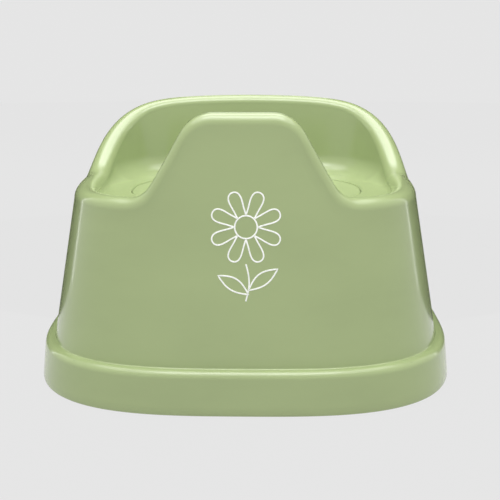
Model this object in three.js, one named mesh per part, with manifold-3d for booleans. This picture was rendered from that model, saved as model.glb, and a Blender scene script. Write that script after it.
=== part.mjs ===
// Potty training chair: a moulded outer shell, a seat moulding inside its rolled rim,
// a lift-out pot, four rubber feet and the four screws that hold the seat down.
// Millimetres, +Z up, front at -Y, origin on the floor under the middle.
import * as THREE from 'three';
import { mergeVertices } from 'three/addons/utils/BufferGeometryUtils.js';
import Module from 'manifold-3d';

const wasm = await Module();
wasm.setup();

// ---- driving dimensions ------------------------------------------------------
const WALL = 2.6; // thickness of the shell and seat mouldings
const GAP = 0.4; // clearance between neighbouring pieces
const DRAFT = 0.167; // inward lean of the outer wall per unit of height

// Outline of the body wall where it meets the skirt's ledge, a squared oval.
const BODY = { halfWidth: 162.5, front: 165, back: 160, centreY: 2.5, power: 3.14 };
const SKIRT = { height: 35, ledge: 8.5, flare: 2.5, edgeRound: 6, baseZ: 1, toeRound: 2 };

// The rolled rim: its outer half, its inner half and how far the inner lip drops.
// A tongue on the seat stands inside the roll, behind the lip.
const ROLL = { outer: 10, inner: 10, lipDrop: 8 };
const TONGUE = { back: 2.4, thick: 1.4, drop: 5.4 };
const SIDE_Z = 161; // top of the rim beside the seat
const DIP_Z = 160; // top of the rim at the leg dips
const GUARD = { top: 225, topHalf: 39.5, footHalf: 74, topRound: 28, footRound: 20 };
const BACK = { topZ: 221.5, riseAngle: 30, riseShape: 1.52 };

const SEAT = { z: 149, fillet: 18, frontFillet: 12, draft: 0.1, recess: 4, collar: 14 };
const POT = { centreY: -4, halfWidth: 99, halfLength: 80, power: 2.3 };
const BOWL = { halfWidth: 76, halfLength: 67, power: 2.2, wall: 2.2 };
const BOWL_FLOOR = { z: 30, scale: 0.72, round: 16 };
const SCOOP = { halfAngle: 26, edge: 16, reach: 12, depth: 6 };

const SHELF = { z: 42, thick: 3, spread: 15, bite: 1.3, lap: 12 };
const POSTS = [
  { name: 'front_left', x: -88, y: -84 },
  { name: 'front_right', x: 88, y: -84 },
  { name: 'rear_right', x: 74, y: 78 },
  { name: 'rear_left', x: -74, y: 78 },
];
const POST = { radius: 6, bore: 2, boreDepth: 20 };
const SCREW = { head: 4, headHeight: 3, shank: 1.6, length: 19, hole: 2.2, slot: 1.1 };
const FOOT = { radius: 7, thick: 4, boss: 9, inset: 2.5, sink: 3, angles: [-47, 227, 47, 133] };

// ---- materials ---------------------------------------------------------------
const sage = new THREE.MeshStandardMaterial({ color: 0xa9bd88, roughness: 0.25, metalness: 0 });
const potGreen = new THREE.MeshStandardMaterial({ color: 0xb4c795, roughness: 0.3, metalness: 0 });
const rubber = new THREE.MeshStandardMaterial({ color: 0xc9ccc2, roughness: 0.8, metalness: 0 });
const steel = new THREE.MeshStandardMaterial({ color: 0xb9bcc0, roughness: 0.35, metalness: 1 });

// ---- small helpers -----------------------------------------------------------
const DEG = Math.PI / 180;
const lerp = THREE.MathUtils.lerp;
const smoothstep = THREE.MathUtils.smoothstep;

function ovalRadius(angle, halfX, halfY, power) {
  const alongX = Math.abs(Math.cos(angle) / halfX) ** power;
  const alongY = Math.abs(Math.sin(angle) / halfY) ** power;
  return (alongX + alongY) ** (-1 / power);
}

// A point of the body outline and the direction into the body there.
function bodyPoint(angle) {
  const halfY = Math.sin(angle) < 0 ? BODY.front : BODY.back;
  const radius = ovalRadius(angle, BODY.halfWidth, halfY, BODY.power);
  const x = radius * Math.cos(angle);
  const y = radius * Math.sin(angle);
  const slopeX = Math.sign(x) * Math.abs(x / BODY.halfWidth) ** (BODY.power - 1) / BODY.halfWidth;
  const slopeY = Math.sign(y) * Math.abs(y / halfY) ** (BODY.power - 1) / halfY;
  const size = Math.hypot(slopeX, slopeY);
  return { x, y: y + BODY.centreY, inX: -slopeX / size, inY: -slopeY / size };
}

function fromBody(angle, inward, z) {
  const p = bodyPoint(angle);
  return new THREE.Vector3(p.x + p.inX * inward, p.y + p.inY * inward, z);
}

function wallInset(z) {
  return DRAFT * (z - SKIRT.height);
}

function aroundPot(angle, radius, z) {
  return new THREE.Vector3(radius * Math.cos(angle), POT.centreY + radius * Math.sin(angle), z);
}

// ---- height of the rim around the body ---------------------------------------
// The splash guard is a trapezoid whose upper and lower corners are rounded.
function guardHeight(x) {
  const run = GUARD.footHalf - GUARD.topHalf;
  const rise = GUARD.top - DIP_Z;
  const turn = Math.atan2(rise, run);
  const topTangent = GUARD.topRound * Math.tan(turn / 2);
  const footTangent = GUARD.footRound * Math.tan(turn / 2);
  const topStart = GUARD.topHalf - topTangent;
  const topEnd = GUARD.topHalf + topTangent * Math.cos(turn);
  const footStart = GUARD.footHalf - footTangent * Math.cos(turn);
  const footEnd = GUARD.footHalf + footTangent;
  if (x <= topStart) return GUARD.top;
  if (x < topEnd) {
    return GUARD.top - GUARD.topRound + Math.sqrt(GUARD.topRound ** 2 - (x - topStart) ** 2);
  }
  if (x <= footStart) return GUARD.top - ((x - GUARD.topHalf) * rise) / run;
  if (x < footEnd) {
    return DIP_Z + GUARD.footRound - Math.sqrt(GUARD.footRound ** 2 - (footEnd - x) ** 2);
  }
  return DIP_Z;
}

// Behind the middle the rim climbs to the back in one long curve; in front of it
// the rim climbs a little to the leg dips and then over the splash guard.
function rimHeight(angle) {
  const turn = Math.atan2(Math.sin(angle), Math.abs(Math.cos(angle))) / DEG;
  if (turn >= 0) {
    const climb = 1 - Math.exp(-((turn / BACK.riseAngle) ** BACK.riseShape));
    return SIDE_Z + (BACK.topZ - SIDE_Z) * climb;
  }
  const crownInset = wallInset((GUARD.top + DIP_Z) / 2) + ROLL.outer;
  const crown = fromBody(angle, crownInset, 0);
  const front = SIDE_Z + (DIP_Z - SIDE_Z) * smoothstep(-turn, 0, 40);
  return Math.max(front, guardHeight(Math.abs(crown.x)) - DIP_Z + front);
}

// How much steeper than level the rim runs, so that the roll keeps its radius on a slope.
function rimStretch(angle) {
  const step = 0.004;
  const before = fromBody(angle - step, 0, rimHeight(angle - step));
  const after = fromBody(angle + step, 0, rimHeight(angle + step));
  const run = Math.hypot(after.x - before.x, after.y - before.y);
  return Math.hypot(1, (after.z - before.z) / run);
}

// Stations close together along the guard's corners, wider apart elsewhere. A turn
// is counted in degrees from the middle of the front.
function rimStations() {
  const stretches = [[0, 8.5, 2], [8.5, 18, 6], [18, 24.5, 1], [24.5, 31, 5], [31, 42, 2], [42, 180, 23]];
  const turns = [];
  for (const [from, to, steps] of stretches) {
    for (let i = 0; i < steps; i += 1) turns.push(lerp(from, to, i / steps));
  }
  const right = turns.map((turn) => (turn - 90) * DEG);
  const left = turns.slice(1).reverse().map((turn) => (270 - turn) * DEG);
  return [...right, 90 * DEG, ...left];
}

const STATIONS = rimStations();

// ---- solids ------------------------------------------------------------------
// Rings of points, one closed section per station, joined into a closed band.
function bandGeometry(sections) {
  const count = sections.length;
  const ring = sections[0].length;
  const positions = [];
  for (const section of sections) {
    for (const point of section) positions.push(point.x, point.y, point.z);
  }
  const index = [];
  for (let i = 0; i < count; i += 1) {
    const next = (i + 1) % count;
    for (let j = 0; j < ring; j += 1) {
      const up = (j + 1) % ring;
      index.push(i * ring + j, next * ring + j, next * ring + up);
      index.push(i * ring + j, next * ring + up, i * ring + up);
    }
  }
  const geometry = new THREE.BufferGeometry();
  geometry.setAttribute('position', new THREE.Float32BufferAttribute(positions, 3));
  geometry.setIndex(index);
  return geometry;
}

function toSolid(geometry) {
  const bare = geometry.clone();
  bare.deleteAttribute('normal');
  bare.deleteAttribute('uv');
  const merged = mergeVertices(bare, 1e-4);
  return new wasm.Manifold(new wasm.Mesh({
    numProp: 3,
    vertProperties: new Float32Array(merged.attributes.position.array),
    triVerts: new Uint32Array(merged.index.array),
  }));
}

function toMesh(name, solid, material) {
  const mesh = solid.getMesh();
  const geometry = new THREE.BufferGeometry();
  geometry.setAttribute('position', new THREE.BufferAttribute(mesh.vertProperties, 3));
  geometry.setIndex(new THREE.BufferAttribute(mesh.triVerts, 1));
  geometry.computeVertexNormals();
  const result = new THREE.Mesh(geometry, material);
  result.name = name;
  return result;
}

function cylinder(radius, low, high, x, y, sides = 24) {
  const geometry = new THREE.CylinderGeometry(radius, radius, high - low, sides);
  geometry.rotateX(Math.PI / 2);
  geometry.translate(x, y, (low + high) / 2);
  return toSolid(geometry);
}

// ---- outer shell -------------------------------------------------------------
// The half-round of the rim, from the outer wall over the crown to the inner lip,
// drawn at a distance inside the rim's outer surface.
function rollPoints(wallInset, top, stretch, inside) {
  const points = [];
  const crown = wallInset + ROLL.outer;
  const steps = 3;
  for (let i = 0; i <= steps; i += 1) {
    const turn = (i / steps) * 90 * DEG;
    const radius = ROLL.outer - inside;
    const z = top - stretch * (ROLL.outer - radius * Math.sin(turn));
    points.push([crown - radius * Math.cos(turn), z]);
  }
  for (let i = 1; i <= steps; i += 1) {
    const turn = (i / steps) * 90 * DEG;
    const z = top - stretch * (ROLL.lipDrop - (ROLL.lipDrop - inside) * Math.cos(turn));
    points.push([crown + (ROLL.inner - inside) * Math.sin(turn), z]);
  }
  return points;
}

function shellSection(angle) {
  const top = rimHeight(angle);
  const stretch = rimStretch(angle);
  const wallTop = top - ROLL.outer * stretch;
  const inset = wallInset(wallTop);
  const out = -SKIRT.ledge;
  const toe = out - SKIRT.flare;
  const ledgeUnder = SKIRT.height - WALL;
  const round = SKIRT.edgeRound;
  const outer = [
    [toe + SKIRT.toeRound, SKIRT.baseZ],
    [toe, SKIRT.baseZ + SKIRT.toeRound],
    [out, SKIRT.height - round],
    [out + round * (1 - Math.cos(45 * DEG)), SKIRT.height - round * (1 - Math.sin(45 * DEG))],
    [out + round, SKIRT.height],
    [-WALL, SKIRT.height],
    [wallInset(SKIRT.height + WALL), SKIRT.height + WALL],
  ];
  const inner = [
    [inset + WALL, wallTop],
    [WALL, ledgeUnder],
    [out + round, ledgeUnder],
    [out + WALL, SKIRT.height - round],
    [toe + WALL, SKIRT.baseZ],
  ];
  const over = rollPoints(inset, top, stretch, 0);
  const under = rollPoints(inset, top, stretch, WALL).reverse().slice(0, -1);
  const section = [...outer, ...over, ...under, ...inner];
  return section.map(([inward, z]) => fromBody(angle, inward, z));
}

function footCentre(degrees) {
  return fromBody(degrees * DEG, FOOT.inset, 0);
}

// A flat shelf across each corner, its outer edge buried in the wall.
function shelfSolid(post) {
  const middle = Math.atan2(post.y - BODY.centreY, post.x);
  const inset = wallInset(SHELF.z) + SHELF.bite;
  const outline = [];
  for (let step = -1; step <= 1; step += 0.25) {
    const edge = fromBody(middle + step * SHELF.spread * DEG, inset, 0);
    outline.push(new THREE.Vector2(edge.x, edge.y));
  }
  for (const side of [1, 0, -1]) {
    const turn = middle + side * 90 * DEG + (side === 0 ? 180 * DEG : 0);
    const x = post.x + SHELF.lap * Math.cos(turn);
    outline.push(new THREE.Vector2(x, post.y + SHELF.lap * Math.sin(turn)));
  }
  const geometry = new THREE.ExtrudeGeometry(new THREE.Shape(outline), {
    depth: SHELF.thick,
    bevelEnabled: false,
  });
  geometry.translate(0, 0, SHELF.z);
  return toSolid(geometry);
}

function outerShell() {
  let solid = toSolid(bandGeometry(STATIONS.map(shellSection)));
  for (const post of POSTS) {
    solid = solid.add(shelfSolid(post));
    solid = solid.subtract(
      cylinder(SCREW.hole, SHELF.z - 1, SHELF.z + SHELF.thick + 1, post.x, post.y),
    );
  }
  for (const degrees of FOOT.angles) {
    const at = footCentre(degrees);
    const roof = SKIRT.height - WALL / 2;
    solid = solid.add(cylinder(FOOT.boss, SKIRT.baseZ, roof, at.x, at.y));
    const pocket = FOOT.radius + GAP;
    solid = solid.subtract(cylinder(pocket, -1, SKIRT.baseZ + FOOT.sink + GAP, at.x, at.y));
  }
  return toMesh('outer_shell', solid, sage);
}

// ---- seat moulding -----------------------------------------------------------
function potRimRadius(angle, margin) {
  return ovalRadius(angle, POT.halfWidth + margin, POT.halfLength + margin, POT.power);
}

function bowlRadius(angle, margin) {
  return ovalRadius(angle, BOWL.halfWidth + margin, BOWL.halfLength + margin, BOWL.power);
}

// How far a direction from the pot's middle points into the finger scoop behind
// the pot, 0 to 1.
function scoopShare(angle) {
  const away = Math.abs(Math.atan2(Math.cos(angle), Math.sin(angle))) / DEG;
  return 1 - smoothstep(away, SCOOP.halfAngle - SCOOP.edge, SCOOP.halfAngle);
}

function seatSection(angle) {
  const top = rimHeight(angle);
  const stretch = rimStretch(angle);
  const lip = wallInset(top - ROLL.outer * stretch) + ROLL.outer + ROLL.inner;
  const lipZ = top - ROLL.lipDrop * stretch - GAP;
  const largest = lerp(SEAT.fillet, SEAT.frontFillet, smoothstep(-Math.sin(angle), 0.5, 0.9));
  const fillet = Math.min(largest, lipZ - SEAT.z);
  const footInset = lip + SEAT.draft * (lipZ - SEAT.z - fillet);
  const scoop = scoopShare(angle);
  const edge = potRimRadius(angle, GAP) + SCOOP.reach * scoop;
  const floorZ = SEAT.z - SEAT.recess - SCOOP.depth * scoop;
  const floorEdge = edge - 0.6 * SCOOP.reach * scoop;
  const hole = bowlRadius(angle, BOWL.wall + GAP);
  const collarZ = SEAT.z - SEAT.collar;

  const wall = (inside) => {
    const points = [];
    const radius = fillet + inside;
    for (let i = 0; i <= 3; i += 1) {
      const turn = (i / 3) * 90 * DEG;
      const inward = footInset + fillet - radius * Math.cos(turn);
      points.push(fromBody(angle, inward, SEAT.z + fillet - radius * Math.sin(turn)));
    }
    return points;
  };
  const behind = lip - WALL;
  const tongue = behind - TONGUE.back;
  const tongueTop = top - TONGUE.drop * stretch - GAP;
  return [
    fromBody(angle, lip, lipZ),
    ...wall(0),
    aroundPot(angle, edge, SEAT.z),
    aroundPot(angle, floorEdge, floorZ),
    aroundPot(angle, hole, floorZ),
    aroundPot(angle, hole, collarZ),
    aroundPot(angle, hole + WALL, collarZ),
    aroundPot(angle, hole + WALL, floorZ - WALL),
    aroundPot(angle, floorEdge + WALL, floorZ - WALL),
    aroundPot(angle, edge + WALL, SEAT.z - WALL),
    ...wall(WALL).reverse(),
    fromBody(angle, behind, lipZ - WALL),
    fromBody(angle, tongue - TONGUE.thick, lipZ - WALL / 2),
    fromBody(angle, tongue - TONGUE.thick, tongueTop),
    fromBody(angle, tongue, tongueTop),
    fromBody(angle, tongue, lipZ),
  ];
}

function seatMoulding() {
  let solid = toSolid(bandGeometry(STATIONS.map(seatSection)));
  const foot = SHELF.z + SHELF.thick + GAP;
  for (const post of POSTS) {
    solid = solid.add(cylinder(POST.radius, foot, SEAT.z - WALL / 2, post.x, post.y));
    solid = solid.subtract(cylinder(POST.bore, foot - 1, foot + POST.boreDepth, post.x, post.y));
  }
  return toMesh('seat_moulding', solid, sage);
}

// ---- pot ---------------------------------------------------------------------
// Rings from the bowl's floor up one side of its wall to the mouth. Inside is the
// bowl's own outline; outside is a wall thickness further out.
function bowlRings(outside) {
  const margin = outside ? BOWL.wall : 0;
  const low = BOWL_FLOOR.z + (outside ? 0 : BOWL.wall);
  const rings = [];
  const steps = 3;
  for (let i = 0; i <= steps; i += 1) {
    const turn = (i / steps) * 90 * DEG;
    const shrink = BOWL_FLOOR.round * (1 - Math.sin(turn));
    const rise = BOWL_FLOOR.round * (1 - Math.cos(turn));
    rings.push((angle) => [bowlRadius(angle, margin) * BOWL_FLOOR.scale - shrink, low + rise]);
  }
  return rings;
}

// The flange dishes down from its edge to the mouth of the bowl.
function potRings() {
  const under = SEAT.z - SEAT.recess + GAP;
  const edge = under + BOWL.wall;
  const mouth = under + 0.6;
  return [
    ...bowlRings(false),
    (angle) => [bowlRadius(angle, 0), mouth - 3],
    (angle) => [bowlRadius(angle, 2.5), mouth + BOWL.wall * 0.4],
    (angle) => [potRimRadius(angle, -2), edge + 0.4],
    (angle) => [potRimRadius(angle, 0), edge - 0.8],
    (angle) => [potRimRadius(angle, 0), under],
    (angle) => [bowlRadius(angle, BOWL.wall), under],
    ...bowlRings(true).reverse(),
  ];
}

function potSolid() {
  const rings = potRings();
  const count = 56;
  const positions = [0, POT.centreY, BOWL_FLOOR.z + BOWL.wall];
  for (const ring of rings) {
    for (let i = 0; i < count; i += 1) {
      const angle = (i / count) * 2 * Math.PI;
      const [radius, z] = ring(angle);
      const point = aroundPot(angle, radius, z);
      positions.push(point.x, point.y, point.z);
    }
  }
  const last = positions.length / 3;
  positions.push(0, POT.centreY, BOWL_FLOOR.z);
  const index = [];
  const end = last - count;
  for (let i = 0; i < count; i += 1) {
    const next = (i + 1) % count;
    index.push(0, 1 + i, 1 + next);
    for (let r = 0; r + 1 < rings.length; r += 1) {
      const low = 1 + r * count;
      const high = low + count;
      index.push(low + i, high + i, high + next, low + i, high + next, low + next);
    }
    index.push(last, end + next, end + i);
  }
  const geometry = new THREE.BufferGeometry();
  geometry.setAttribute('position', new THREE.Float32BufferAttribute(positions, 3));
  geometry.setIndex(index);
  return toSolid(geometry);
}

// ---- fasteners and feet ------------------------------------------------------
function screw(post) {
  const headTop = SHELF.z - GAP;
  const headLow = headTop - SCREW.headHeight;
  const profile = [
    [0, headLow],
    [SCREW.head - 1, headLow],
    [SCREW.head, headLow + 1.2],
    [SCREW.head, headTop],
    [SCREW.shank, headTop],
    [SCREW.shank, headTop + SCREW.length - 2],
    [0, headTop + SCREW.length],
  ].map(([radius, z]) => new THREE.Vector2(radius, z));
  const geometry = new THREE.LatheGeometry(profile, 20);
  geometry.rotateX(Math.PI / 2);
  geometry.translate(post.x, post.y, 0);
  let solid = toSolid(geometry);
  for (const turn of [0, Math.PI / 2]) {
    const slot = new THREE.BoxGeometry(SCREW.head * 1.2, SCREW.slot, SCREW.slot * 2);
    slot.rotateZ(turn);
    slot.translate(post.x, post.y, headLow);
    solid = solid.subtract(toSolid(slot));
  }
  return toMesh(`screw_${post.name}`, solid, steel);
}

function footPad(degrees) {
  const at = footCentre(degrees);
  const side = at.x < 0 ? 'left' : 'right';
  const end = at.y < 0 ? 'front' : 'rear';
  const solid = cylinder(FOOT.radius, 0, FOOT.thick, at.x, at.y);
  return toMesh(`foot_${end}_${side}`, solid, rubber);
}

// ---- assembly ----------------------------------------------------------------
const chair = new THREE.Group();
chair.add(outerShell());
chair.add(seatMoulding());
chair.add(toMesh('pot', potSolid(), potGreen));
for (const post of POSTS) chair.add(screw(post));
for (const degrees of FOOT.angles) chair.add(footPad(degrees));

export default chair;
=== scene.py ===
"""Looks of the potty training chair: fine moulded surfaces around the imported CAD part.

Lengths in the profiles are millimetres, as in a moulding drawing. They become metres
when a mesh is made. The studio and the camera are in metres throughout.
"""

import math

import bmesh
import bpy
from mathutils import Euler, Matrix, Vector


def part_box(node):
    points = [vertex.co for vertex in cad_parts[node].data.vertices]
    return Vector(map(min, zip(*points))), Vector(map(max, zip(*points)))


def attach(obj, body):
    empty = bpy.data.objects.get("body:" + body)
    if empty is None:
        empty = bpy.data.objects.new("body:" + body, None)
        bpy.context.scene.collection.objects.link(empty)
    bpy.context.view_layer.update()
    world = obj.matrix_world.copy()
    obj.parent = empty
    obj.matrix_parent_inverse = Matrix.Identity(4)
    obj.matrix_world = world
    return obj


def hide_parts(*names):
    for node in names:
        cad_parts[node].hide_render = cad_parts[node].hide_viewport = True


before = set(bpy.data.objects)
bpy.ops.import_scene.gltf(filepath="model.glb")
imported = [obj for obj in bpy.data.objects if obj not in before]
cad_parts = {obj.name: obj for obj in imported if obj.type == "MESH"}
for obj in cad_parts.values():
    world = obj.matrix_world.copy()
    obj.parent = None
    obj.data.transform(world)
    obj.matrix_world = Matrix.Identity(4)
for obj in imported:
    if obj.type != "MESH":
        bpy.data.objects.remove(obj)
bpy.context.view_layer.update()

MM = 0.001
SHELL_LOW, SHELL_HIGH = (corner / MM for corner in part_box("outer_shell"))
POT_LOW, POT_HIGH = (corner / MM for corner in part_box("pot"))

# ---- driving sizes -------------------------------------------------------------------
WALL = 2.6
JOINT_GAP = 0.03
DRAFT = 0.167
CENTRE_Y = 2.5

SKIRT = {"height": 35, "ledge": 8.5, "flare": 2.5, "edge": 6, "toe": 2, "fillet": 1.2, "chamfer": 0.8}
OVERHANG = SKIRT["ledge"] + SKIRT["flare"]
BODY = {
    "half_width": SHELL_HIGH.x - OVERHANG,
    "front": CENTRE_Y - SHELL_LOW.y - OVERHANG,
    "back": SHELL_HIGH.y - OVERHANG - CENTRE_Y,
    "power": 3.14,
}
ROLL = {"outer": 10, "inner": 10, "drop": 8}
SIDE_Z = 161
DIP_Z = 160
DIP_TURN = 40
GUARD = {"top": SHELL_HIGH.z, "top_half": 39.5, "foot_half": 74, "top_round": 28, "foot_round": 20}
BACK = {"top": 221.5, "rise_angle": 30, "rise_shape": 1.52}
SEAT = {
    "z": 149,
    "fillet": 18,
    "front_fillet": 12,
    "least_sweep": 4.5,
    "draft": 0.1,
    "recess": 4,
    "recess_gap": 0.2,
    "nose": 2.2,
    "flank": 0.9,
    "collar": 14,
    "hole_gap": 0.4,
}
POT = {"centre_y": -4, "half_width": POT_HIGH.x, "half_length": 80, "power": 2.3, "rest_gap": 0.4}
POT_RIM = {"round": 1.2, "drop": 0.8, "crest": 1.4, "chamfer": 0.3, "dish_shape": 1.6}
BOWL = {"half_width": 76, "half_length": 67, "power": 2.2, "wall": 2.2}
MOUTH = {"rise": 0.6, "start": 3, "width": 2.5, "height": 3.9}
FLOOR = {"z": POT_LOW.z, "scale": 0.72, "round": 16, "ring_insets": (30, 22)}
SCOOP = {"half_angle": 26, "edge": 16, "reach": 12, "depth": 6, "ramp": 0.6}
STATION_COUNT = 480
STATION_PULL = 0.55
POT_STATION_COUNT = 240


# ---- outlines ------------------------------------------------------------------------
def smoothstep(value, low, high):
    t = min(1.0, max(0.0, (value - low) / (high - low)))
    return t * t * (3 - 2 * t)


def lerp(a, b, t):
    return a + (b - a) * t


def oval_radius(angle, half_x, half_y, power):
    along_x = abs(math.cos(angle) / half_x) ** power
    along_y = abs(math.sin(angle) / half_y) ** power
    return (along_x + along_y) ** (-1 / power)


def body_point(angle):
    """A point of the body's outline above the ledge, and the direction inward there."""
    half_y = BODY["front"] if math.sin(angle) < 0 else BODY["back"]
    power = BODY["power"]
    radius = oval_radius(angle, BODY["half_width"], half_y, power)
    x, y = radius * math.cos(angle), radius * math.sin(angle)
    slope_x = math.copysign(abs(x / BODY["half_width"]) ** (power - 1) / BODY["half_width"], x)
    slope_y = math.copysign(abs(y / half_y) ** (power - 1) / half_y, y)
    inward = Vector((-slope_x, -slope_y)).normalized()
    return Vector((x, y + CENTRE_Y)), inward


def from_body(angle, inset, z):
    point, inward = body_point(angle)
    point = point + inward * inset
    return Vector((point.x, point.y, z))


def around_pot(angle, radius, z):
    return Vector((radius * math.cos(angle), POT["centre_y"] + radius * math.sin(angle), z))


def wall_inset(z):
    return DRAFT * (z - SKIRT["height"])


def pot_rim_radius(angle, margin):
    return oval_radius(angle, POT["half_width"] + margin, POT["half_length"] + margin, POT["power"])


def bowl_radius(angle, margin):
    return oval_radius(angle, BOWL["half_width"] + margin, BOWL["half_length"] + margin, BOWL["power"])


# ---- height of the rim ---------------------------------------------------------------
def guard_height(x):
    """The splash guard's outline: a trapezoid with rounded shoulders and feet."""
    top, top_half, foot_half = GUARD["top"], GUARD["top_half"], GUARD["foot_half"]
    top_round, foot_round = GUARD["top_round"], GUARD["foot_round"]
    rise, run = top - DIP_Z, foot_half - top_half
    turn = math.atan2(rise, run)
    top_tangent = top_round * math.tan(turn / 2)
    foot_tangent = foot_round * math.tan(turn / 2)
    top_start = top_half - top_tangent
    foot_end = foot_half + foot_tangent
    if x <= top_start:
        return top
    if x < top_half + top_tangent * math.cos(turn):
        return top - top_round + math.sqrt(top_round**2 - (x - top_start) ** 2)
    if x <= foot_half - foot_tangent * math.cos(turn):
        return top - (x - top_half) * rise / run
    if x < foot_end:
        return DIP_Z + foot_round - math.sqrt(foot_round**2 - (foot_end - x) ** 2)
    return DIP_Z


def rim_height(angle):
    """The crown of the roll: up into the backrest behind, over the dips and guard in front."""
    turn = math.degrees(math.atan2(math.sin(angle), abs(math.cos(angle))))
    if turn >= 0:
        climb = 1 - math.exp(-((turn / BACK["rise_angle"]) ** BACK["rise_shape"]))
        return SIDE_Z + (BACK["top"] - SIDE_Z) * climb
    crown_inset = wall_inset((GUARD["top"] + DIP_Z) / 2) + ROLL["outer"]
    crown = from_body(angle, crown_inset, 0)
    front = lerp(SIDE_Z, DIP_Z, smoothstep(-turn, 0, DIP_TURN))
    return max(front, guard_height(abs(crown.x)) - DIP_Z + front)


def rim_stretch(angle):
    """How much longer the rim is than its plan, which keeps the roll round on a slope."""
    step = 0.004
    before = from_body(angle - step, 0, rim_height(angle - step))
    after = from_body(angle + step, 0, rim_height(angle + step))
    run = math.hypot(after.x - before.x, after.y - before.y)
    return math.hypot(1, (after.z - before.z) / run)


def stations():
    """Angles that crowd together along the splash guard, where the rim turns most."""
    angles = []
    for i in range(STATION_COUNT):
        turn = math.tau * i / STATION_COUNT
        angles.append(-math.pi / 2 + turn - STATION_PULL * math.sin(turn))
    return angles


def smoothed(values, passes=3):
    """Rounds the small corners in a closed run of values."""
    count = len(values)
    for _ in range(passes):
        values = [
            (values[i - 1] + 2 * values[i] + values[(i + 1) % count]) / 4 for i in range(count)
        ]
    return values


STATIONS = stations()
RIM = smoothed([rim_height(angle) for angle in STATIONS])
STRETCH = smoothed([rim_stretch(angle) for angle in STATIONS], 6)


# ---- meshes --------------------------------------------------------------------------
SHARP_ANGLE = 38    # degrees between two faces that shade apart


def arc(centre, radii, start, end, steps):
    """Points on an ellipse's arc, angles in degrees."""
    points = []
    for i in range(steps + 1):
        turn = math.radians(lerp(start, end, i / steps))
        points.append((centre[0] + radii[0] * math.cos(turn), centre[1] + radii[1] * math.sin(turn)))
    return points


def line(start, end, steps):
    """Points along a straight run, without its two ends."""
    return [
        (lerp(start[0], end[0], i / steps), lerp(start[1], end[1], i / steps))
        for i in range(1, steps)
    ]


def add_piece(name, points, faces, material, body="chair"):
    mesh = bpy.data.meshes.new(name)
    mesh.from_pydata([Vector(p) * MM for p in points], [], faces)
    bm = bmesh.new()
    bm.from_mesh(mesh)
    bmesh.ops.recalc_face_normals(bm, faces=bm.faces)
    bm.to_mesh(mesh)
    bm.free()
    mesh.materials.append(material)
    mesh.shade_smooth()
    mesh.set_sharp_from_angle(angle=math.radians(SHARP_ANGLE))
    piece = bpy.data.objects.new(name, mesh)
    bpy.context.scene.collection.objects.link(piece)
    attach(piece, body)
    return piece


def ring_faces(rows, columns, closed_rows=True):
    """Quads between rows of points; every row is a closed ring of columns points."""
    faces = []
    for i in range(rows if closed_rows else rows - 1):
        for j in range(columns):
            a, b = i * columns + j, i * columns + (j + 1) % columns
            c, d = ((i + 1) % rows) * columns + (j + 1) % columns, ((i + 1) % rows) * columns + j
            faces.append((a, b, c, d))
    return faces


def band(name, sections, material, body="chair"):
    """A closed band: one closed section for each station round the chair."""
    points = [point for section in sections for point in section]
    return add_piece(name, points, ring_faces(len(sections), len(sections[0])), material, body)


def turned(name, profile, centre, material, body="chair", sides=64):
    """A solid turned about a vertical axis; its profile ends on the axis or is a closed ring."""
    inner = [p for p in profile if p[0] > 0]
    points = []
    for radius, z in inner:
        for j in range(sides):
            turn = math.tau * j / sides
            points.append((centre[0] + radius * math.cos(turn), centre[1] + radius * math.sin(turn), z))
    faces = ring_faces(len(inner), sides, closed_rows=profile[0][0] > 0)
    if profile[0][0] == 0:
        for end, row in ((profile[0], 0), (profile[-1], len(inner) - 1)):
            points.append((centre[0], centre[1], end[1]))
            hub = len(points) - 1
            faces += [(hub, row * sides + (j + 1) % sides, row * sides + j) for j in range(sides)]
    return add_piece(name, points, faces, material, body)


# ---- materials -----------------------------------------------------------------------
class Nodes:
    """A short way to write a node tree."""

    def __init__(self, name):
        self.material = bpy.data.materials.new(name)
        self.material.use_nodes = True
        self.tree = self.material.node_tree
        self.shader = self.tree.nodes["Principled BSDF"]
        self.place = self.add("ShaderNodeTexCoord").outputs["Object"]

    def add(self, kind, **values):
        node = self.tree.nodes.new(kind)
        for key, value in values.items():
            if key in node.inputs:
                node.inputs[key].default_value = value
            else:
                setattr(node, key, value)
        return node

    def link(self, source, target):
        self.tree.links.new(source, target)

    def noise(self, scale, detail=3.0, roughness=0.5, stretch=None):
        node = self.add("ShaderNodeTexNoise", Scale=scale, Detail=detail, Roughness=roughness)
        where = self.place
        if stretch:
            mapping = self.add("ShaderNodeMapping")
            mapping.inputs["Scale"].default_value = stretch
            self.link(where, mapping.inputs["Vector"])
            where = mapping.outputs["Vector"]
        self.link(where, node.inputs["Vector"])
        return node.outputs["Fac"]

    def spread(self, value, low, high, from_low=0.3, from_high=0.7):
        """A noise value brought into a range."""
        node = self.add("ShaderNodeMapRange")
        node.inputs["From Min"].default_value = from_low
        node.inputs["From Max"].default_value = from_high
        node.inputs["To Min"].default_value = low
        node.inputs["To Max"].default_value = high
        self.link(value, node.inputs["Value"])
        return node.outputs["Result"]

    def colours(self, factor, stops):
        node = self.add("ShaderNodeValToRGB")
        ramp = node.color_ramp
        while len(ramp.elements) < len(stops):
            ramp.elements.new(0.5)
        for element, (place, colour) in zip(ramp.elements, stops):
            element.position = place
            element.color = (*colour, 1)
        self.link(factor, node.inputs["Fac"])
        return node.outputs["Color"]

    def bump(self, height, strength, distance, onto=None):
        node = self.add("ShaderNodeBump", Strength=strength, Distance=distance)
        self.link(height, node.inputs["Height"])
        if onto:
            self.link(onto, node.inputs["Normal"])
        return node.outputs["Normal"]


def scaled(colour, factor):
    return tuple(channel * factor for channel in colour)


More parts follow.
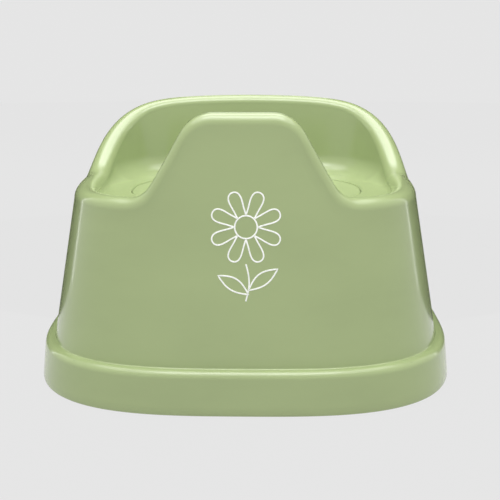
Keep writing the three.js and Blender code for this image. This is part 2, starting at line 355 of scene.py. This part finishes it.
def moulded_plastic(name, colour, gloss, peel):
    """Glossy injection-moulded plastic: faint flow mottling, uneven polish, orange peel."""
    nodes = Nodes(name)
    flow = nodes.noise(9, detail=4, roughness=0.55, stretch=(1, 1, 2.2))
    stops = [(0.30, scaled(colour, 0.955)), (0.52, colour), (0.74, scaled(colour, 1.04))]
    tint = nodes.colours(flow, stops)
    nodes.link(tint, nodes.shader.inputs["Base Color"])
    polish = nodes.noise(26, detail=5, roughness=0.6)
    nodes.link(nodes.spread(polish, gloss - 0.03, gloss + 0.04), nodes.shader.inputs["Roughness"])
    skin = nodes.bump(nodes.noise(150, detail=2), peel, 0.00025)
    grain = nodes.bump(nodes.noise(1500, detail=2), 0.06, 0.00005, onto=skin)
    nodes.link(grain, nodes.shader.inputs["Normal"])
    nodes.shader.inputs["IOR"].default_value = 1.49
    nodes.shader.inputs["Coat Weight"].default_value = 0.25
    nodes.shader.inputs["Coat Roughness"].default_value = 0.05
    return nodes.material


def printed_ink(name):
    nodes = Nodes(name)
    cover = nodes.noise(420, detail=3)
    tint = nodes.colours(cover, [(0.25, (0.80, 0.83, 0.76)), (0.6, (0.93, 0.94, 0.90))])
    nodes.link(tint, nodes.shader.inputs["Base Color"])
    nodes.link(nodes.spread(cover, 0.34, 0.46), nodes.shader.inputs["Roughness"])
    nodes.link(nodes.bump(nodes.noise(900), 0.15, 0.00005), nodes.shader.inputs["Normal"])
    return nodes.material


def soft_rubber(name):
    nodes = Nodes(name)
    dust = nodes.noise(60, detail=6, roughness=0.65)
    tint = nodes.colours(dust, [(0.3, (0.50, 0.52, 0.45)), (0.7, (0.60, 0.61, 0.55))])
    nodes.link(tint, nodes.shader.inputs["Base Color"])
    nodes.link(nodes.spread(dust, 0.72, 0.88), nodes.shader.inputs["Roughness"])
    nodes.link(nodes.bump(nodes.noise(1800, detail=3), 0.35, 0.0001), nodes.shader.inputs["Normal"])
    return nodes.material


def plated_steel(name):
    nodes = Nodes(name)
    brushed = nodes.noise(240, detail=4, stretch=(1, 1, 12))
    tint = nodes.colours(brushed, [(0.3, (0.46, 0.47, 0.49)), (0.7, (0.62, 0.63, 0.64))])
    nodes.link(tint, nodes.shader.inputs["Base Color"])
    nodes.link(nodes.spread(brushed, 0.22, 0.42), nodes.shader.inputs["Roughness"])
    nodes.link(nodes.bump(brushed, 0.1, 0.00005), nodes.shader.inputs["Normal"])
    nodes.shader.inputs["Metallic"].default_value = 1.0
    return nodes.material


SAGE = (0.326, 0.400, 0.188)
SHELL_PLASTIC = moulded_plastic("sage_shell", SAGE, 0.20, 0.10)
# The seat moulding and the pot are the same sage plastic as the shell, painted 3% and 6% lighter: painted
# light that brightens the upward-facing deck, backrest inner wall and pot rim.
SEAT_PLASTIC = moulded_plastic("sage_seat", scaled(SAGE, 1.03), 0.22, 0.10)
POT_PLASTIC = moulded_plastic("sage_pot", scaled(SAGE, 1.06), 0.24, 0.12)
INK = printed_ink("white_ink")
RUBBER = soft_rubber("foot_rubber")
STEEL = plated_steel("screw_steel")


# ---- outer shell ---------------------------------------------------------------------
def roll_points(inset, top, stretch, inside, steps):
    """Over the rolled rim from the outer wall to the inner lip, at a depth inside it."""
    crown = inset + ROLL["outer"]
    outer, inner, drop = ROLL["outer"] - inside, ROLL["inner"] - inside, ROLL["drop"] - inside
    wall_side = arc((crown, top - stretch * ROLL["outer"]), (outer, stretch * outer), 180, 90, steps)
    lip_side = arc((crown, top - stretch * ROLL["drop"]), (inner, stretch * drop), 90, 0, steps)
    return wall_side + lip_side[1:]


def shell_section(angle, top, stretch):
    """Up the outside from the toe of the skirt, over the roll, and down the inside."""
    height, ledge, toe = SKIRT["height"], -SKIRT["ledge"], SKIRT["toe"]
    edge, fillet, chamfer = SKIRT["edge"], SKIRT["fillet"], SKIRT["chamfer"]
    foot = ledge - SKIRT["flare"]
    base = SHELL_LOW.z
    wall_top = top - ROLL["outer"] * stretch
    inset = wall_inset(wall_top)
    fillet_top = height + fillet
    fillet_end = wall_inset(fillet_top)
    outer = arc((foot + toe, base + toe), (toe, toe), 270, 180, steps=4)
    outer += line(outer[-1], (ledge, height - edge), steps=5)
    outer += arc((ledge + edge, height - edge), (edge, edge), 180, 90, steps=10)
    outer += arc((fillet_end - fillet, fillet_top), (fillet, fillet), 270, 360, steps=7)
    outer += line(outer[-1], (inset, wall_top), steps=12)
    over = roll_points(inset, top, stretch, inside=0, steps=12)
    under = roll_points(inset, top, stretch, inside=WALL, steps=5)[::-1]
    inner = [
        (WALL + fillet_end, fillet_top),
        (WALL, height - WALL),
        (ledge + edge, height - WALL),
        (ledge + WALL, height - edge),
        (foot + WALL, base + chamfer),
        (foot + WALL - chamfer, base),
    ]
    return [from_body(angle, inward, z) for inward, z in outer + over + under + inner]


def build_shell():
    sections = [shell_section(*row) for row in zip(STATIONS, RIM, STRETCH)]
    shell = band("shell_moulding", sections, SHELL_PLASTIC)
    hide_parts("outer_shell")


# ---- seat moulding -------------------------------------------------------------------
def scoop_share(angle):
    """1 in the middle of the finger scoop at the rear, 0 outside it."""
    away = abs(math.degrees(math.atan2(math.cos(angle), math.sin(angle))))
    return 1 - smoothstep(away, SCOOP["half_angle"] - SCOOP["edge"], SCOOP["half_angle"])


def recess_section(angle):
    """(radius, z) over the recess's edge, down its hole, and back under it to the edge."""
    deck, nose = SEAT["z"], SEAT["nose"]
    scoop = scoop_share(angle)
    edge = pot_rim_radius(angle, SEAT["recess_gap"]) + SCOOP["reach"] * scoop
    floor = deck - SEAT["recess"] - SCOOP["depth"] * scoop
    floor_edge = edge - SCOOP["ramp"] * SCOOP["reach"] * scoop
    hole = bowl_radius(angle, BOWL["wall"] + SEAT["hole_gap"])
    collar = deck - SEAT["collar"]
    return arc((edge + nose, deck - nose), (nose, nose), 90, 180, steps=6) + [
        (floor_edge + 0.3, floor + 0.7),
        (floor_edge - 0.7, floor),
        (hole + 0.8, floor),
        (hole, floor - 0.8),
        (hole, collar + 0.5),
        (hole + 0.5, collar),
        (hole + WALL, collar),
        (hole + WALL, floor - WALL),
        (floor_edge + WALL, floor - WALL),
        (edge + nose + SEAT["flank"] + WALL, deck - WALL),
    ]


def seat_section(angle, top, stretch):
    """Down the lining from the roll's lip, across the deck, round the recess and back below."""
    lip = wall_inset(top - ROLL["outer"] * stretch) + ROLL["outer"] + ROLL["inner"]
    lip_z = top - ROLL["drop"] * stretch - JOINT_GAP
    rise = lip_z - SEAT["z"]
    front = smoothstep(-math.sin(angle), 0.5, 0.9)
    fillet = min(lerp(SEAT["fillet"], SEAT["front_fillet"], front), rise)
    fillet_z = SEAT["z"] + fillet
    sweep = max(fillet, SEAT["least_sweep"])
    foot = lip + SEAT["draft"] * (rise - fillet)
    wall = [(lip, lip_z)] + line((lip, lip_z), (foot, fillet_z), steps=8)
    wall += arc((foot + sweep, fillet_z), (sweep, fillet), 180, 270, steps=12)
    inside = [(lip - WALL, lip_z), (foot - WALL, fillet_z)]
    inside += arc((foot + sweep, fillet_z), (sweep + WALL, fillet + WALL), 195, 270, steps=5)

    lining = [from_body(angle, inward, z) for inward, z in wall]
    recess = [around_pot(angle, radius, z) for radius, z in recess_section(angle)]
    deck = [lining[-1].lerp(recess[0], share) for share in (0.25, 0.5, 0.75)]
    below = [from_body(angle, inward, z) for inward, z in reversed(inside)]
    return lining + deck + recess + below


def build_seat():
    sections = [seat_section(*row) for row in zip(STATIONS, RIM, STRETCH)]
    seat = band("seat_and_backrest", sections, SEAT_PLASTIC)
    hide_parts("seat_moulding")


# ---- pot -----------------------------------------------------------------------------
POT_STATIONS = [math.tau * i / POT_STATION_COUNT for i in range(POT_STATION_COUNT)]


def bowl_row(z, margin=0, scale=1, shrink=0):
    """Points round the bowl's outline, grown by a margin, scaled, then drawn in."""
    return [around_pot(a, bowl_radius(a, margin) * scale - shrink, z) for a in POT_STATIONS]


def rim_row(z, margin):
    """Points round the outer edge of the pot's rim, moved out by a margin."""
    return [around_pot(a, pot_rim_radius(a, margin), z) for a in POT_STATIONS]


def dish_row(z, share):
    """Points on top of the rim, a share of the way from the mouth to the outer edge."""
    row = []
    for angle in POT_STATIONS:
        mouth = bowl_radius(angle, MOUTH["width"])
        crest = pot_rim_radius(angle, -POT_RIM["crest"])
        row.append(around_pot(angle, lerp(mouth, crest, share), z))
    return row


def floor_rows(outside):
    """From the middle of the bowl's floor to the end of its rounded corner."""
    margin = BOWL["wall"] if outside else 0
    low = FLOOR["z"] + (0 if outside else BOWL["wall"])
    rows = [bowl_row(low, margin, FLOOR["scale"], inset) for inset in FLOOR["ring_insets"]]
    for i in range(9):
        turn = math.radians(90 * i / 8)
        inset = FLOOR["round"] * (1 - math.sin(turn))
        z = low + FLOOR["round"] * (1 - math.cos(turn))
        rows.append(bowl_row(z, margin, FLOOR["scale"], inset))
    return rows


def pot_rows():
    """Rows from the floor up the inside, over the rim, and down the outside to the floor."""
    under = SEAT["z"] - SEAT["recess"] + POT["rest_gap"]
    edge = under + BOWL["wall"]
    wall_foot = FLOOR["z"] + BOWL["wall"] + FLOOR["round"]
    wall_top = under + MOUTH["rise"] - MOUTH["start"]
    rows = floor_rows(outside=False)
    for i in range(1, 9):
        share = i / 8
        rows.append(bowl_row(lerp(wall_foot, wall_top, share), scale=lerp(FLOOR["scale"], 1, share)))
    for degrees in (20, 45, 70, 90):
        turn = math.radians(degrees)
        out = MOUTH["width"] * (1 - math.cos(turn))
        rows.append(bowl_row(wall_top + MOUTH["height"] * math.sin(turn), out))
    dish_z = wall_top + MOUTH["height"]
    crest_z = edge + POT_RIM["round"] - POT_RIM["drop"]
    for share in (0.2, 0.4, 0.6, 0.8, 0.95):
        rows.append(dish_row(lerp(dish_z, crest_z, share ** POT_RIM["dish_shape"]), share))
    for degrees in (90, 60, 30, 0):
        turn = math.radians(degrees)
        out = POT_RIM["round"] * (math.cos(turn) - 1)
        rows.append(rim_row(edge + POT_RIM["round"] * math.sin(turn) - POT_RIM["drop"], out))
    rows.append(rim_row(under + POT_RIM["chamfer"], 0))
    rows.append(rim_row(under, -POT_RIM["chamfer"]))
    rows.append(bowl_row(under, BOWL["wall"]))
    return rows + floor_rows(outside=True)[::-1]


def build_pot():
    rows = pot_rows()
    points = [point for row in rows for point in row]
    count = len(POT_STATIONS)
    faces = ring_faces(len(rows), count, closed_rows=False)
    for centre_z, first in ((FLOOR["z"] + BOWL["wall"], 0), (FLOOR["z"], (len(rows) - 1) * count)):
        points.append(Vector((0, POT["centre_y"], centre_z)))
        hub = len(points) - 1
        faces += [(hub, first + (j + 1) % count, first + j) for j in range(count)]
    pot = add_piece("lift_out_pot", points, faces, POT_PLASTIC, "pot")
    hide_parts("pot")


# ---- under the chair -----------------------------------------------------------------
SCREWS = [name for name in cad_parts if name.startswith("screw_")]
FEET = [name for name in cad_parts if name.startswith("foot_")]
SHELF = {"z": 42, "thick": 3, "spread": 15, "lap": 12, "hole": 2.2, "ring": 5.5, "ring_high": 1, "edge": 0.5}
POST = {"bore": 2, "radius": 6, "gap": 0.4, "flare": 4, "flare_start": 9, "flare_high": 8}
FOOT = {"radius": 7, "high": 4, "groove": 0.35, "hub": 1.4, "rings": (1.8, 3.4, 5.0), "ring_wide": 0.9}
SOCKET = {"radius": 9, "gap": 0.4, "chamfer": 0.4}


def node_centre(node):
    low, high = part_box(node)
    return ((low + high) / 2) / MM


def shelf_outline(centre):
    """Along the inside of the wall at a corner, and back round the screw in a half circle."""
    middle = math.atan2(centre.y - CENTRE_Y, centre.x)
    inset = wall_inset(SHELF["z"]) + WALL / 2
    spread = math.radians(SHELF["spread"])
    outline = [from_body(middle + spread * step / 6, inset, 0).xy for step in range(-6, 7)]
    for step in range(13):
        turn = middle + math.radians(90 + 15 * step)
        outline.append(centre.xy + Vector((math.cos(turn), math.sin(turn))) * SHELF["lap"])
    return outline


def ray_to_outline(start, direction, outline):
    """Distance from a point inside an outline to its edge."""
    best = 1e9
    for i, a in enumerate(outline):
        edge = outline[(i + 1) % len(outline)] - a
        across = direction.cross(edge)
        if abs(across) < 1e-9:
            continue
        reach = (a - start).cross(edge) / across
        share = (a - start).cross(direction) / across
        if reach > 0 and -1e-6 <= share <= 1 + 1e-6:
            best = min(best, reach)
    return best


def shelf_profile(reach):
    """(radius, z) round a slice of the shelf, out to its edge, with a ring below the hole."""
    low, high = SHELF["z"], SHELF["z"] + SHELF["thick"]
    hole, ring, edge = SHELF["hole"], SHELF["ring"], SHELF["edge"]
    ring_z = low - SHELF["ring_high"]
    return [
        (hole, ring_z),
        (ring, ring_z),
        (ring + 0.7, low - 0.3),
        (ring + 1.1, low),
        (reach - edge, low),
        (reach, low + edge),
        (reach, high - edge),
        (reach - edge, high),
        (hole + 0.4, high),
        (hole, high - 0.4),
    ]


def build_shelf(node):
    """A corner shelf with a rounded tip, a screw hole and a raised ring round it."""
    centre = node_centre(node)
    outline = shelf_outline(centre)
    sections = []
    for i in range(72):
        turn = math.tau * i / 72
        direction = Vector((math.cos(turn), math.sin(turn)))
        profile = shelf_profile(ray_to_outline(centre.xy, direction, outline))
        sections.append(
            [(centre.x + direction.x * r, centre.y + direction.y * r, z) for r, z in profile]
        )
    shelf = band("shelf_" + node.removeprefix("screw_"), sections, SHELL_PLASTIC)


def build_post(node):
    """A hollow post from the shelf up to the seat, flared where it meets the seat."""
    bore, radius = POST["bore"], POST["radius"]
    foot = SHELF["z"] + SHELF["thick"] + POST["gap"]
    roof = SEAT["z"] - WALL / 2
    flare_z = roof - POST["flare_start"]
    profile = [(bore, foot + 0.5), (bore + 0.5, foot), (radius - 0.6, foot), (radius, foot + 0.6)]
    profile.append((radius, flare_z))
    for degrees in (20, 40, 60, 80):
        turn = math.radians(degrees)
        out = POST["flare"] * (1 - math.cos(turn))
        profile.append((radius + out, flare_z + POST["flare_high"] * math.sin(turn)))
    profile += [(radius + POST["flare"], roof), (bore, roof)]
    name = "post_" + node.removeprefix("screw_")
    post = turned(name, profile, node_centre(node), SEAT_PLASTIC, sides=48)


def foot_profile():
    """(radius, z) of a rubber pad: gripping rings below, rounded edges and a flat top."""
    radius, high, groove = FOOT["radius"], FOOT["high"], FOOT["groove"]
    profile = [(0, groove), (FOOT["hub"], groove)]
    for ring in FOOT["rings"]:
        ring_end = ring + FOOT["ring_wide"]
        profile += [(ring, 0), (ring_end, 0), (ring_end + 0.3, groove)]
    profile += [(radius - 0.6, 0), (radius - 0.25, 0.1), (radius, 0.45)]
    profile += [(radius, high - 0.2), (radius - 0.2, high), (0, high)]
    return profile


def socket_profile():
    """(radius, z) of the boss that holds a pad: a well below and a solid root above it."""
    well = FOOT["radius"] + SOCKET["gap"]
    well_roof = FOOT["high"] + SOCKET["gap"]
    radius, chamfer = SOCKET["radius"], SOCKET["chamfer"]
    low, roof = SHELL_LOW.z, SKIRT["height"] - WALL / 2
    profile = [(0, well_roof), (well, well_roof), (well, low + 0.5), (well + chamfer, low)]
    profile += [(radius - chamfer, low), (radius, low + chamfer), (radius, roof), (0, roof)]
    return profile


def build_foot(node):
    """A rubber pad, in a socket moulded under the ledge."""
    centre = node_centre(node)
    pad = turned(node + "_pad", foot_profile(), centre, RUBBER)
    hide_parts(node)
    boss = turned("socket_" + node.removeprefix("foot_"), socket_profile(), centre, SHELL_PLASTIC)


def build_underside():
    for node in SCREWS:
        build_shelf(node)
        build_post(node)
        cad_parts[node].material_slots[0].material = STEEL
    for node in FEET:
        build_foot(node)


# ---- printed motif -------------------------------------------------------------------
MOTIF = {"x": 3, "head_z": 141, "foot_z": 86, "line": 1.15, "high": 0.22, "depth": 0.1}
HEAD = {"petals": 8, "hub": 8.5, "petal_foot": 8.6, "petal_tip": 27.5, "petal_width": 7.6}
STEM = {"top": 27.4, "sway": 2.5}
LEAVES = (
    {"foot": (2, 8), "tip": (24, 24), "belly": 5.0},
    {"foot": (2, 5), "tip": (-21, 19), "belly": -5.0},
)


def on_front(x, z):
    """The point of the front wall at a sideways place and a height."""
    low, high = math.radians(-150), math.radians(-30)
    inset = wall_inset(z)
    for _ in range(40):
        middle = (low + high) / 2
        if from_body(middle, inset, z).x < x:
            low = middle
        else:
            high = middle
    return from_body(low, inset, z)


def ring_line(x, z, radius, steps=64):
    points = []
    for i in range(steps):
        turn = math.tau * i / steps
        points.append((x + radius * math.cos(turn), z + radius * math.sin(turn)))
    return points


def petal_line(turn, hub, reach, width):
    """A rounded petal whose open foot stands on the hub's circle."""
    points = []
    for i in range(25):
        share = i / 24
        along = hub + (reach - hub) * math.sin(math.pi * share) ** 0.62
        across = -width * math.cos(math.pi * share) * (0.45 + 0.55 * math.sin(math.pi * share))
        x = along * math.cos(turn) - across * math.sin(turn)
        z = along * math.sin(turn) + across * math.cos(turn)
        points.append((x, z))
    return points


def leaf_line(start, tip, belly):
    """A closed pointed leaf from its foot to its tip, a little flatter on the way back."""
    axis = Vector(tip) - Vector(start)
    side = Vector((-axis.y, axis.x)).normalized()
    points = []
    for i in range(32):
        share = i / 16 if i <= 16 else (32 - i) / 16
        bulge = (1 if i <= 16 else -0.8) * belly * math.sin(math.pi * share)
        points.append(tuple(Vector(start) + axis * share + side * bulge))
    return points


def motif_lines():
    """A plain daisy with two leaves: (points, closed) for each line."""
    x, z, foot_z = MOTIF["x"], MOTIF["head_z"], MOTIF["foot_z"]
    lines = [(ring_line(x, z, HEAD["hub"]), True)]
    for i in range(HEAD["petals"]):
        turn = math.tau * (i + 0.5) / HEAD["petals"]
        petal = petal_line(turn, HEAD["petal_foot"], HEAD["petal_tip"], HEAD["petal_width"])
        lines.append(([(x + px, z + pz) for px, pz in petal], False))
    stem = []
    for i in range(21):
        share = i / 20
        sway = STEM["sway"] * math.sin(math.pi * share)
        stem.append((x + sway, lerp(z - STEM["top"], foot_z, share)))
    lines.append((stem, False))
    for leaf in LEAVES:
        start = (x + leaf["foot"][0], foot_z + leaf["foot"][1])
        tip = (x + leaf["tip"][0], foot_z + leaf["tip"][1])
        lines.append((leaf_line(start, tip, leaf["belly"]), True))
    return lines


def ink_section(place, along, shape):
    """The ribbon's section where it crosses a place on the front wall."""
    right = on_front(place.x + 1, place.z) - on_front(place.x - 1, place.z)
    up = on_front(place.x, place.z + 1) - on_front(place.x, place.z - 1)
    out = right.cross(up).normalized()
    side = along.cross(out).normalized()
    return [place + side * across + out * lift for across, lift in shape]


def build_motif():
    """Each line is a low ribbon of ink that follows the curved front wall."""
    half, high, depth = MOTIF["line"] / 2, MOTIF["high"], MOTIF["depth"]
    shoulder = 0.7 * half
    left = [(-half, -depth), (-half, 0.08), (-shoulder, high)]
    shape = left + [(-across, lift) for across, lift in reversed(left)]
    width = len(shape)
    points, faces = [], []
    for flat, closed in motif_lines():
        spine = [on_front(x, z) for x, z in flat]
        count = len(spine)
        first = len(points)
        for i, place in enumerate(spine):
            before = spine[i - 1] if closed or i else place
            after = spine[(i + 1) % count] if closed or i + 1 < count else place
            points += ink_section(place, (after - before).normalized(), shape)
        for face in ring_faces(count, width, closed_rows=closed):
            faces.append(tuple(first + corner for corner in face))
        if not closed:
            last = first + (count - 1) * width
            faces.append(tuple(range(first, first + width)))
            faces.append(tuple(range(last, last + width)))
    ink = add_piece("printed_daisy", points, faces, INK)


# ---- studio --------------------------------------------------------------------------
CEILING = {"grey": 0.791, "strength": 3.3}
PAPER = {"albedo": 0.008, "glow": 0.775, "radius": 3.0, "bend": 1.5, "high": 6.0, "sides": 64}
FLAG = {"near": 0.205, "reach": 0.75, "start": 118, "end": 170, "low": 0.0008, "high": 0.95}
OVERHEAD_Z = 1.25
OVERHEAD = (
    {"name": "overhead_front", "y": -0.27, "size": (0.8, 0.45), "power": 5},
    {"name": "overhead_back", "y": 0.48, "size": (0.8, 0.5), "power": 3},
)
STRIP = {"radius": 0.74, "turn": FLAG["start"] - 3, "z": 0.34, "size": (0.03, 0.66), "power": 0.16}
SHOT = {
    "distance": 0.965,
    "height": 0.2968,
    "orbit": 1.36,
    "pan": 0.18,
    "pitch": 11.93,
    "roll": -0.03,
    "lens": 80.1,
    "sensor": 36,
}


def stage_mesh(name, points, faces, material):
    mesh = bpy.data.meshes.new(name)
    mesh.from_pydata(points, [], faces)
    mesh.materials.append(material)
    prop = bpy.data.objects.new(name, mesh)
    bpy.context.scene.collection.objects.link(prop)
    return prop


def studio_paper():
    nodes = Nodes("studio_paper")
    grain = nodes.noise(3, detail=2)
    low, high = PAPER["albedo"] * 0.97, PAPER["albedo"] * 1.03
    tint = nodes.colours(grain, [(0.3, (low, low, low)), (0.7, (high, high, high))])
    nodes.link(tint, nodes.shader.inputs["Base Color"])
    nodes.shader.inputs["Roughness"].default_value = 0.9
    nodes.shader.inputs["Specular IOR Level"].default_value = 0.0
    nodes.shader.inputs["Emission Color"].default_value = (1, 1, 1, 1)
    nodes.shader.inputs["Emission Strength"].default_value = PAPER["glow"]
    return nodes.material


def black_cloth():
    nodes = Nodes("black_cloth")
    tint = nodes.colours(nodes.noise(40), [(0.3, (0.015, 0.015, 0.014)), (0.7, (0.03, 0.03, 0.028))])
    nodes.link(tint, nodes.shader.inputs["Base Color"])
    nodes.shader.inputs["Roughness"].default_value = 0.95
    nodes.shader.inputs["Specular IOR Level"].default_value = 0.1
    return nodes.material


def build_floor():
    """A pale floor that bends up into a round backdrop, open at the top."""
    bend, sides = PAPER["bend"], PAPER["sides"]
    profile = [(PAPER["radius"], 0.0)]
    for i in range(1, 13):
        turn = math.radians(90 * i / 12)
        profile.append((PAPER["radius"] + bend * math.sin(turn), bend * (1 - math.cos(turn))))
    profile.append((PAPER["radius"] + bend, PAPER["high"]))
    points = [(0, 0, 0)]
    for radius, z in profile:
        for j in range(sides):
            turn = math.tau * j / sides
            points.append((radius * math.cos(turn), radius * math.sin(turn), z))
    faces = [(0, 1 + j, 1 + (j + 1) % sides) for j in range(sides)]
    for face in ring_faces(len(profile), sides, closed_rows=False):
        faces.append(tuple(1 + corner for corner in face))
    floor = stage_mesh("studio_floor", points, faces, studio_paper())
    floor.data.shade_smooth()


def build_flags():
    """Black cloth on the floor and standing behind each side, seen only in reflections."""
    cloth = black_cloth()
    near, reach, low, high = FLAG["near"], FLAG["reach"], FLAG["low"], FLAG["high"]
    for side, name in ((1, "flag_right"), (-1, "flag_left")):
        points = []
        for i in range(9):
            turn = math.radians(lerp(FLAG["start"], FLAG["end"], i / 8))
            along, back = side * math.sin(turn), -math.cos(turn)
            for radius, z in ((near, low), (reach, low), (reach, high)):
                points.append((radius * along, radius * back, z))
        faces = []
        for i in range(0, len(points) - 3, 3):
            faces += [(i, i + 3, i + 4, i + 1), (i + 1, i + 4, i + 5, i + 2)]
        flag = stage_mesh(name, points, faces, cloth)
        flag.visible_camera = False


def add_light(name, place, target, size, power):
    light = bpy.data.lights.new(name, "AREA")
    light.shape = "RECTANGLE"
    light.size, light.size_y = size
    light.energy = power
    lamp = bpy.data.objects.new(name, light)
    lamp.location = place
    lamp.rotation_euler = (Vector(target) - Vector(place)).to_track_quat("-Z", "Y").to_euler()
    lamp.visible_camera = False
    bpy.context.scene.collection.objects.link(lamp)


def build_lights():
    """Two soft boxes overhead with a gap between them, a tall strip on each side, a ceiling."""
    for box in OVERHEAD:
        y = box["y"]
        add_light(box["name"], (0, y, OVERHEAD_Z), (0, y, 0), box["size"], box["power"])
    turn, z = math.radians(STRIP["turn"]), STRIP["z"]
    for side, name in ((1, "strip_right"), (-1, "strip_left")):
        x, y = side * STRIP["radius"] * math.sin(turn), -STRIP["radius"] * math.cos(turn)
        add_light(name, (x, y, z), (0, 0, z), STRIP["size"], STRIP["power"])
    grey = CEILING["grey"]
    world = bpy.data.worlds.new("studio")
    world.use_nodes = True
    background = world.node_tree.nodes["Background"]
    background.inputs["Color"].default_value = (grey, grey, grey, 1)
    background.inputs["Strength"].default_value = CEILING["strength"]
    bpy.context.scene.world = world


def build_camera():
    """A tabletop product shot from the front, looking down by twelve degrees."""
    distance, height = SHOT["distance"], SHOT["height"]
    orbit, pan = math.radians(SHOT["orbit"]), math.radians(SHOT["pan"])
    pitch, roll = math.radians(SHOT["pitch"]), math.radians(SHOT["roll"])
    camera = bpy.data.cameras.new("camera")
    camera.lens = SHOT["lens"]
    camera.sensor_width = SHOT["sensor"]
    holder = bpy.data.objects.new("camera", camera)
    holder.location = (distance * math.sin(orbit), -distance * math.cos(orbit), height)
    aim = Euler((math.radians(90) - pitch, 0, orbit - pan)).to_matrix()
    tilt = Euler((0, 0, roll)).to_matrix()
    holder.rotation_euler = (aim @ tilt).to_euler()
    bpy.context.scene.collection.objects.link(holder)
    bpy.context.scene.camera = holder


build_shell()
build_seat()
build_pot()
build_underside()
build_motif()
build_floor()
build_flags()
build_lights()
build_camera()
bpy.context.scene.view_settings.view_transform = "Standard"
